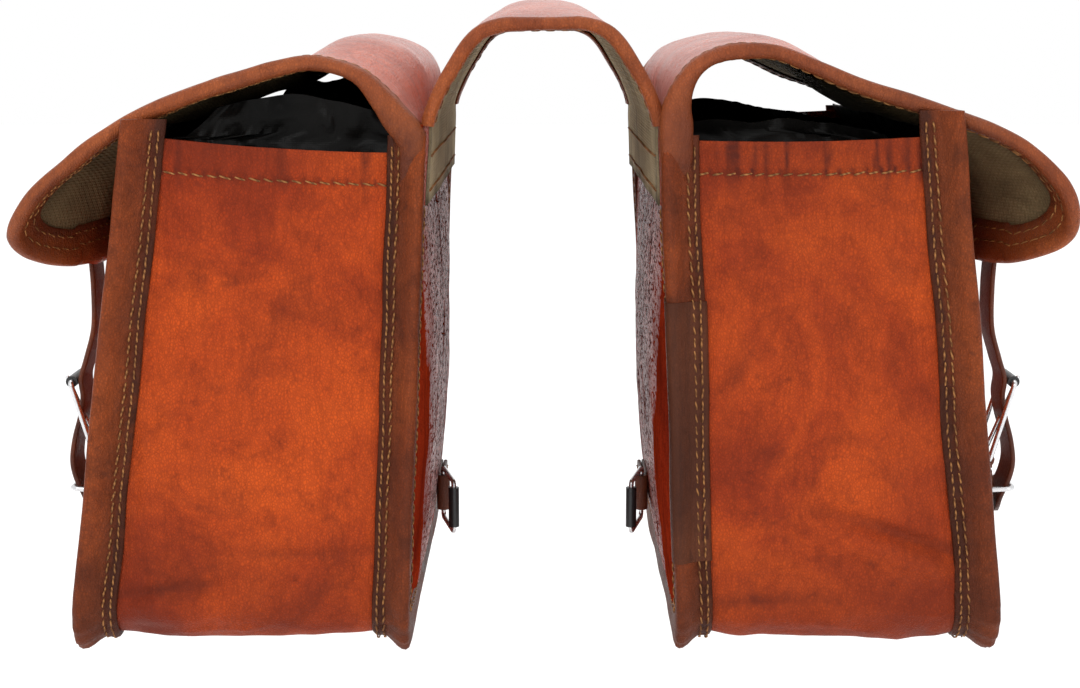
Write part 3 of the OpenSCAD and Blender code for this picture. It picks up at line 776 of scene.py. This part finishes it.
def lining(side, name, pouch):
    seed = 210 if side > 0 else 230
    rise = 15 if side < 0 else 7
    half, low, r = HALF - LINING_GAP, FLOOR + LINING_GAP, CORNER_R - LINING_GAP
    line, n2 = u_path(2.4, MOUTH + rise, half, low, r)
    z = line[:, 1]
    share = np.linspace(0, 1, 64)
    low_x, high_x = back_x(z) + 4.5, front_x(z, side) - 4.5
    high_x = np.where(z > MOUTH, np.minimum(high_x, 148 + (MOUTH - z) * 1.0), high_x)
    p, n = u_wall(line, n2, low_x, high_x, share)
    q = p * (side, 1, 1)
    loose = step(MOUTH - 22, MOUTH + 6, p[..., 2])
    crumple = ridges(q, (15, 23, 17), seed) + 0.6 * ridges(q, (8, 11, 9), seed + 2)
    p = p - n * (0.9 + loose * (4.5 + 4.0 * crumple.clip(-0.9, 1.4)))[..., None]
    lean = share[None] - (0.62 if side < 0 else 0.5)
    p[..., 2] += loose * (3.4 * noise(q, (17, 30, 60), seed + 5) - 26 * np.abs(lean) ** 2.2
                          - (0 if side < 0 else 4) * step(0.3, 0.7, share[None]))
    if side < 0:
        far = step(40, 115, p[..., 1])
        hump = 18 * np.exp(-((p[..., 0] - 82) / 18) ** 2) + 3 * noise(q, (6, 30, 60), seed + 6)
        p[..., 2] += loose * far * hump
    verts, faces, _ = thick_sheet(p, 0.0, -0.5, n)
    walls = [(verts, faces)]
    for front in (True, False):
        rows, reach = panel_rows(MOUTH + 3, low, half, r, 60, 9)
        across = np.linspace(-1, 1, 81)
        yy = reach[:, None] * across[None]
        zz = np.repeat(rows[:, None], len(across), 1)
        if front:
            xx = front_x(zz, side) - 4.5 - 8 * step(MOUTH - 12, MOUTH + 3, zz)
        else:
            xx = back_x(zz) + 4.5
        w = np.stack([xx, yy, zz], -1)
        w[..., 0] += (-1 if front else 1) * 1.4 * np.abs(rough(w * (side, 1, 1), 14, seed + 9, 3))
        v, f, _ = thick_sheet(w, 0.0, -0.5, np.array([1.0 if front else -1.0, 0, 0]))
        walls.append((v, f))
    verts, faces = joined(walls)
    return add(name + "lining_bag", verts, faces, LINING, side, None, pouch,
               instead=[name + "lining"], sharp=70)


# ---- flap
WRAP = [(-12, 0.1), (-12.4, 0.7), (-11.6, 1.25), (-8.5, 1.35), (-6, 1.0), (-3.5, 1.4), (-1, 1.5), (0.8, 0.9),
        (1.7, -0.3), (1.9, -1.8), (1.6, -3.2), (0.5, -4.3), (-1.5, -4.8), (-5, -4.6), (-8, -4.35),
        (-11.5, -4.6), (-15, -4.5), (-15.8, -4.0), (-15.6, -3.3), (-8, -2)]


def flap(side, name, pouch, body):
    seed = 310 if side > 0 else 340
    bend = (pouch, body, (side * 70 * MM, 0, 0), (side * 102 * MM, 0, 0))
    p, n = flap_grid(side, seed)
    q = p * (side, 1, 1)
    verts, faces, n = thick_sheet(p, 0.0, -LEATHER, n)
    a = np.abs(p[..., 1])
    shade = 0.7 * step(104, 122, a) + 0.15 * noise(q, 30, seed + 8) + 0.3 * step(150, 200, p[..., 0])
    add(name + "flap_sheet", verts, faces, FLAP, side, np.clip(shade, 0, 1), None, bend,
        [name + "flap"])
    under, up = flap_grid(side, seed, 2.0)
    verts, faces, _ = thick_sheet(under - up * (LEATHER + 0.15), 0.0, -CANVAS_T, up)
    dim = np.clip(0.9 * step(100, 118, a) + 0.35 * rough(q, 24, seed + 11, 3), 0, 1)
    canvas = add(name + "flap_lining", verts, faces, CANVAS, side, dim, None, bend,
                 [name + "flap_canvas"])

    points, normals, out = flap_rim(side, seed)
    tail = np.arange(-28, 0, 2.0)[:, None]
    ends = []
    for end in (0, -1):
        first = points[:, end] if end else points[:, 0]
        drop = np.array([-BACK_LEAN / (MOUTH - FLOOR), 0, 1.0])
        ends.append(first[:, None] + (tail if end == 0 else tail[::-1])[None] * drop)
    points = np.concatenate([ends[0], points, ends[1]], 1)
    grow = len(tail)
    normals = np.pad(normals, ((0, 0), (grow, grow), (0, 0)), "edge")
    out = np.pad(out, ((grow, grow), (0, 0)), "edge")
    s = lengths(points[0])
    down = np.minimum(s, s[-1] - s)
    near_root = 1 - step(30, 68, down)
    swell = near_root * (2.5 - 7.5 * (1 - step(0, 26, down)))
    w = points[0] * (side, 1, 1)
    wide, thick = 1 + 0.06 * noise(w, 22, seed + 2), 1 + 0.10 * noise(w, 16, seed + 3)
    rings = []
    for t, h in WRAP:
        low = h < -2.5
        height = h * thick * (1 + (1.3 * near_root if low else 0))
        ring, _ = on_rim(points, normals, out, -t * wide, height)
        rings.append(ring + out * (swell * np.where(swell < 0, 1, 1 if t > -9 else 0.2))[:, None])
    rings = np.stack(rings, 1)
    verts = rings.reshape(-1, 3)
    faces = tube_faces(*rings.shape[:2])
    profile = np.array(WRAP)
    shade = 0.25 + 0.5 * step(7, 14, np.abs(profile[None, :, 0])) + 0.3 * noise(w, 30, seed + 4)[:, None]
    # Towards the roots the edge is darkened, so that the painted light of the lighter edge leather fades into
    # the back binding's colour.
    shade = np.clip(shade + 0.3 * (profile[None, :, 1] < -3) + 0.5 * (1 - step(6, 62, down))[:, None], 0, 1)
    add(name + "flap_edge", verts, faces, EDGE, side, shade, None, bend,
        [name + "flap_binding", name + "root_bindings"])
    rows = []
    for back, height, face in ((6.2, 0.75, 1), (10.6, 1.15, 1), (5.6, -4.65, -1), (11.8, -4.65, -1)):
        spot, up = on_rim(points, normals, out, back * wide, height * thick)
        skipped, radius = (34, 0.36) if face < 0 else (22, 0.28)
        inside = slice(skipped, -skipped)
        rows.append(stitches(spot[inside], face * up[inside], 5.2, radius, 0.12, seed + int(back), 0.82))
    add_thread(name + "flap_stitches", rows, side, None, bend)


# ---- closures
def rounded_outline(width, thick, r):
    outline = []
    for sy, sz, start in ((1, 1, 0), (-1, 1, 90), (-1, -1, 180), (1, -1, 270)):
        for a in np.radians(start + np.array([0, 30, 60, 90])):
            outline.append((sy * (width / 2 - r) + r * math.cos(a), sz * (thick / 2 - r) + r * math.sin(a)))
    return np.array(outline)


def rounded_tip(s, length, least):
    """Share of a strap's width at distances s from its end, which is rounded over a length."""
    return np.sqrt(np.clip(1 - (1 - np.clip(s / length, 0, 1)) ** 2, least, 1))


def ribbon(line, y, width, thick):
    """Strap with rounded edges along a line in the XZ plane."""
    line = resample(np.asarray(line, float), 1.4)
    t = unit(np.gradient(line, axis=0))
    origin = np.stack([line[:, 0], np.full(len(line), y), line[:, 1]], -1)
    up = np.stack([-t[:, 1], np.zeros(len(t)), t[:, 0]], -1)
    across = np.repeat([[0, 1.0, 0]], len(line), 0)
    return origin, across, up, rounded_outline(width, thick, thick * 0.38)


def strap_line():
    at = np.linspace(U_END - 66, U_END - 1, 30)
    on_flap = along(PULLED, at)
    t = unit(np.gradient(on_flap, axis=0))
    lift = 1.4 + 1.7 * step(U_END - 22, U_END - 14, at)
    on_flap = on_flap + np.stack([-t[:, 1], t[:, 0]], -1) * lift[:, None]
    lean = math.atan2(*(ROLLER - BAR))
    into = np.array([-math.cos(lean), math.sin(lean)])
    past = ROLLER + (ROLLER_R + STRAP_T / 2 + 0.45) * into
    rest = smooth_line([tuple(on_flap[-1]), (196.6, -113), (197.2, -130), (201, -144), tuple(past),
                        (203.1, -161), (204.6, -169.8), (207.4, -179.9), (208.8, -189.7), (207.6, -197.2),
                        (205, -203.5), (203.5, -208), (203.5, -214)])
    return np.concatenate([on_flap[:-1], rest])


def closures(side, name, body):
    straps, tabs, threads = [], [], []
    line = strap_line()
    shade_parts = []
    for y in (-CLOSURE_Y, CLOSURE_Y):
        origin, across, up, outline = ribbon(line, y, STRAP_W, STRAP_T)
        s = lengths(origin)
        shaped = np.repeat(outline[None], len(s), 0)
        shaped[..., 0] *= (rounded_tip(s[-1] - s, 9, 0.12) * rounded_tip(s, 9, 0.12))[:, None]
        straps.append(sweep(origin, across, up, shaped))
        shade_parts.append(np.repeat((0.35 + 0.3 * noise(origin, 18, 5))[:, None], len(outline), 1)
                           + 0.4 * step(7, 10, np.abs(outline[None, :, 0])))
        for edge in (-7.6, 7.6):
            spot = origin + across * edge + up * STRAP_T / 2
            last = np.searchsorted(s, 62)
            threads.append(stitches(spot[4:last], up[4:last], seed=7, **SMALL_STITCH))
        turn = np.radians(np.linspace(-60, 240, 24))
        c, sn = math.cos(TAB_LEAN), math.sin(TAB_LEAN)

        def at(a, b):
            return BAR[0] + a * c - b * sn, BAR[1] + a * sn + b * c

        loop = [at(1.1, b) for b in (-39, -30, -20, -10, -5)]
        loop += [at(2.3 * math.cos(a), 2.3 * math.sin(a)) for a in turn]
        loop += [at(-1.15, b) for b in (-5, -10, -20, -30, -39)]
        origin, across, up, outline = ribbon(np.array(loop), y, STRAP_W - 1, 1.9)
        s = lengths(origin)
        near_bar = np.linalg.norm(origin[:, [0, 2]] - BAR, axis=1) < 4.6
        shaped = np.repeat(outline[None], len(s), 0)
        shaped[..., 0] *= rounded_tip(np.minimum(s, s[-1] - s), 8, 0.2)[:, None]
        for sign in (-1, 1):
            half = shaped.copy()
            beside = sign * (6 + outline[None, :, 0] * 0.36)
            half[..., 0] = np.where(near_bar[:, None], beside, shaped[..., 0])
            part = slice(None)
            if sign < 0:
                round_bar = np.where(near_bar)[0]
                part = slice(round_bar[0], round_bar[-1] + 1)
            tabs.append(sweep(origin[part], across[part], up[part], half[part]))
        for edge in (-7.2, 7.2):
            b = np.linspace(-37, -7, 20)
            x, z = at(2.1, b)
            marks = np.stack([x, np.full(20, y + edge), z], -1)
            threads.append(stitches(marks, np.repeat([[c, 0, sn]], 20, 0), seed=9, **SMALL_STITCH))
    verts, faces = joined(straps)
    shade = np.clip(np.concatenate([v.ravel() for v in shade_parts]), 0, 1)
    add(name + "strap_bands", verts, faces, STRAP, side, shade, body,
        instead=[name + "straps"], sharp=50)
    verts, faces = joined(tabs)
    add(name + "tab_bands", verts, faces, STRAP, side, 0.5, body,
        instead=[name + "buckle_tabs"], sharp=50)
    add_thread(name + "strap_stitches", threads, side, body)


def rear_tab(side, name, pouch):
    """Folded leather strip round the rear loop's bar, sewn to the back panel."""
    line = [(REAR_BAR[0] + 2.7, REAR_BAR[1] + v) for v in (34, 24, 14, 6)]
    line += [(REAR_BAR[0] + 2.3 * math.cos(a), REAR_BAR[1] + 2.3 * math.sin(a))
             for a in np.radians(np.linspace(50, -230, 22))]
    line += [(REAR_BAR[0] + 0.5, REAR_BAR[1] + v) for v in (6, 14, 24, 33)]
    line = resample(np.array(line, float), 1.2)
    t = unit(np.gradient(line, axis=0))
    origin = np.stack([line[:, 0], line[:, 1], np.full(len(line), REAR_BAR[2])], -1)
    up = np.stack([-t[:, 1], t[:, 0], np.zeros(len(t))], -1)
    across = np.repeat([[0, 0, 1.0]], len(line), 0)
    verts, faces = sweep(origin, across, up, rounded_outline(17.6, 1.9, 0.7))
    add(name + "rear_tab_band", verts, faces, STRAP, side, 0.6, pouch,
        instead=[name + "rear_tab"], sharp=50)
    b = np.linspace(6, 32, 20)
    rows = []
    for edge in (-6.3, 6.3):
        x, z = np.full(20, REAR_BAR[0] - 0.45), np.full(20, REAR_BAR[2] + edge)
        marks = np.stack([x, REAR_BAR[1] + b, z], -1)
        rows.append(stitches(marks, np.repeat([[-1.0, 0, 0]], 20, 0), seed=11, **SMALL_STITCH))
    add_thread(name + "rear_tab_stitches", rows, side, pouch)


# ---- bridge
def bridge(side, name, pouch):
    seed = 410
    bend = ("root", pouch, (side * 10 * MM, 0, 0), (side * 38 * MM, 0, 0))
    line = resample(BRIDGE_UNDER, 1.8)
    across = np.linspace(-1, 1, 111)
    y = BRIDGE_HALF * across
    p = np.stack([np.repeat(line[:, :1], len(y), 1), np.repeat(y[None], len(line), 0),
                  np.repeat(line[:, 1:], len(y), 1)], -1)
    q = p * (side, 1, 1)
    rise = 6.5 * (1 - step(6, 30, p[..., 0])) + 3 * (1 - step(28, 46, p[..., 0]))
    p[..., 2] += (1 - np.abs(across[None]) ** 2.2) * rise
    n = grid_normals(p)
    if np.sum(n[..., 2]) < 0:
        n = -n
    p = p + n * (0.5 * rough(q, 40, seed, 2))[..., None]
    verts, faces, _ = thick_sheet(p + n * 0.95, LEATHER, 0.0, n)
    shade = np.clip(0.6 * step(0.86, 1, np.abs(across))[None] + 0.2 * noise(q, 30, seed), 0, 1)
    add(name + "bridge_sheet", verts, faces, FLAP, side, shade, None, bend,
        [name + "bridge_leg"])
    verts, faces, _ = thick_sheet(p, 0.75, 0.0, n)
    dim = np.clip(0.5 * step(0.86, 0.97, np.abs(across))[None] + 0.3 * rough(q, 22, seed + 3, 3)
                  + 0.6 * step(-66, -72, p[..., 2]), 0, 1)
    # The bridge's canvas takes the lighter copy of the canvas: painted light.
    canvas = add(name + "bridge_lining", verts, faces, LIT_CANVAS, side, dim, None, bend,
                 [name + "leg_canvas"])
    rows, edges, shades = [], [], []
    last = int(np.argmax(line[:, 1] < MOUTH + 3))
    for end in (0, -1):
        path, up = p[:last, end] + n[:last, end] * 3.1, n[:last, end]
        out = np.repeat([[0, 1.0 if end else -1.0, 0]], last, 0)
        w = path * (side, 1, 1)
        outline = np.repeat(np.array(WRAP)[None], last, 0) * (0.9, 0.92)
        uneven = np.stack([1 + 0.06 * noise(w, 22, seed + 7), 1 + 0.1 * noise(w, 15, seed + 8)], -1)
        outline = outline * uneven[:, None]
        edges.append(sweep(path, out, up, outline))
        shades.append(np.clip(0.15 + 0.35 * noise(w, 24, seed + 9)[:, None]
                              + 0.4 * step(5, 12, np.abs(np.array(WRAP)[None, :, 0])), 0, 1))
        for back, height, face in ((-6.4, 1.0, 1), (-8.5, -4.2, -1)):
            spot = path + out * back + up * height
            rows.append(stitches(spot, face * up, seed=seed + end, slant=0.14, radius=0.3))
    # The bridge's edges take the lighter edge leather: painted light.
    verts, faces = joined(edges)
    add(name + "bridge_edge", verts, faces, EDGE, side, np.array(shades), None, bend,
        [name + "leg_bindings"])
    for drop in (-53, -66):
        row = int(np.argmin(np.abs(line[:, 1] - drop)))
        path = p[row, 3:-3] - n[row, 3:-3] * 0.1
        rows.append(stitches(path, -n[row, 3:-3], seed=seed + row, slant=0.1, radius=0.5))
    add_thread(name + "bridge_stitches", rows, side, None, bend)


def dark_patch(ring, pouch):
    """Darker strip of leather lapped over the near side of the right pouch's back binding."""
    origin, normal, outline = ring
    part = (origin[:, 1] < 0) & (origin[:, 2] < -109) & (origin[:, 2] > -222)
    skin = outline[part][:, :16]
    outward = unit(skin - np.array([7.0, 0.0]))
    loop = np.concatenate([skin + outward * 0.8, (skin + outward * 0.1)[:, ::-1]], 1)
    verts, faces = sweep(origin[part], np.repeat([[1.0, 0, 0]], part.sum(), 0), normal[part], loop)
    add("right_dark_patch", verts, faces, DARK, 1, 0.3, pouch,
        instead=["right_binding_patch"])


for side, name in ((-1, "left_"), (1, "right_")):
    pouch, flap_body = name + "pouch", name + "flap"
    gusset(side, name, pouch)
    front_top = MOUTH + (6.5 if side < 0 else 10)
    binding_ring(side, name, pouch, name + "front_binding", True, front_top, 500 + side)
    ring = binding_ring(side, name, pouch, name + "back_binding", False, MOUTH, 520 + side)
    front_panel(side, name, pouch)
    back_panel(side, name, pouch)
    bag = lining(side, name, pouch)
    flap(side, name, pouch, flap_body)
    closures(side, name, flap_body)
    rear_tab(side, name, pouch)
    bridge(side, name, pouch)
    if side > 0:
        dark_patch(ring, pouch)

for node, part in (("bridge_leather", "sheet"), ("bridge_canvas", "lining"), ("bridge_bindings", "edge")):
    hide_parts(node)

for node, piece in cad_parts.items():
    if node.endswith("roller"):
        chosen = BLACK
    elif any(w in node for w in ("frames", "keepers", "prong", "magnet", "rivets", "rear_loop")):
        chosen = STEEL
    else:
        continue
    piece.data.materials.clear()
    piece.data.materials.append(chosen)
    for face in piece.data.polygons:
        face.use_smooth = True
        face.material_index = 0
    piece.data.set_sharp_from_angle(angle=math.radians(40))


# ---- floor, light and camera
def plane(name, size, z, colour):
    mesh = bpy.data.meshes.new(name)
    s = size / 2
    mesh.from_pydata([(-s, -s, z), (s, -s, z), (s, s, z), (-s, s, z)], [], [(0, 1, 2, 3)])
    obj = bpy.data.objects.new(name, mesh)
    bpy.context.collection.objects.link(obj)
    n = Nodes(name)
    n.put("Roughness", 0.85)
    n.shader.inputs["Base Color"].default_value = (*colour, 1)
    n.shader.inputs["Emission Color"].default_value = (1, 1, 1, 1)
    n.shader.inputs["Emission Strength"].default_value = 0.15
    mesh.materials.append(n.material)


def lamp(name, at, target, size, power):
    data = bpy.data.lights.new(name, "AREA")
    data.shape = "RECTANGLE"
    data.size, data.size_y = size
    data.energy = power
    obj = bpy.data.objects.new(name, data)
    obj.location = at
    obj.rotation_euler = (Vector(target) - Vector(at)).to_track_quat("-Z", "Y").to_euler()
    bpy.context.collection.objects.link(obj)


plane("floor", 14.0, (FLOOR - 140) * MM, (0.93, 0.93, 0.93))
world = bpy.data.worlds.new("studio")
world.use_nodes = True
world.node_tree.nodes["Background"].inputs[0].default_value = (1, 1, 1, 1)
world.node_tree.nodes["Background"].inputs[1].default_value = 1.0
bpy.context.scene.world = world
MIDDLE = (0, 0, -0.12)
lamp("key", (-0.7, -1.6, 1.2), MIDDLE, (1.0, 0.8), 9)
lamp("fill", (1.2, -1.5, 0.5), MIDDLE, (0.9, 0.9), 4)
lamp("top", (0, 0.3, 1.6), MIDDLE, (1.6, 1.2), 8)
bpy.context.scene.view_settings.view_transform = "Standard"

LENS, AWAY, PITCH = 63.7, 770.0, 9.4
near_face = node_box("right_back_binding")[0][1]
camera = bpy.data.objects.new("camera", bpy.data.cameras.new("camera"))
camera.data.lens = LENS
camera.location = (-1.2 * MM, (near_face - AWAY) * MM, 0)
camera.rotation_euler = (math.radians(90 - PITCH), 0, 0)
bpy.context.collection.objects.link(camera)
bpy.context.scene.camera = camera
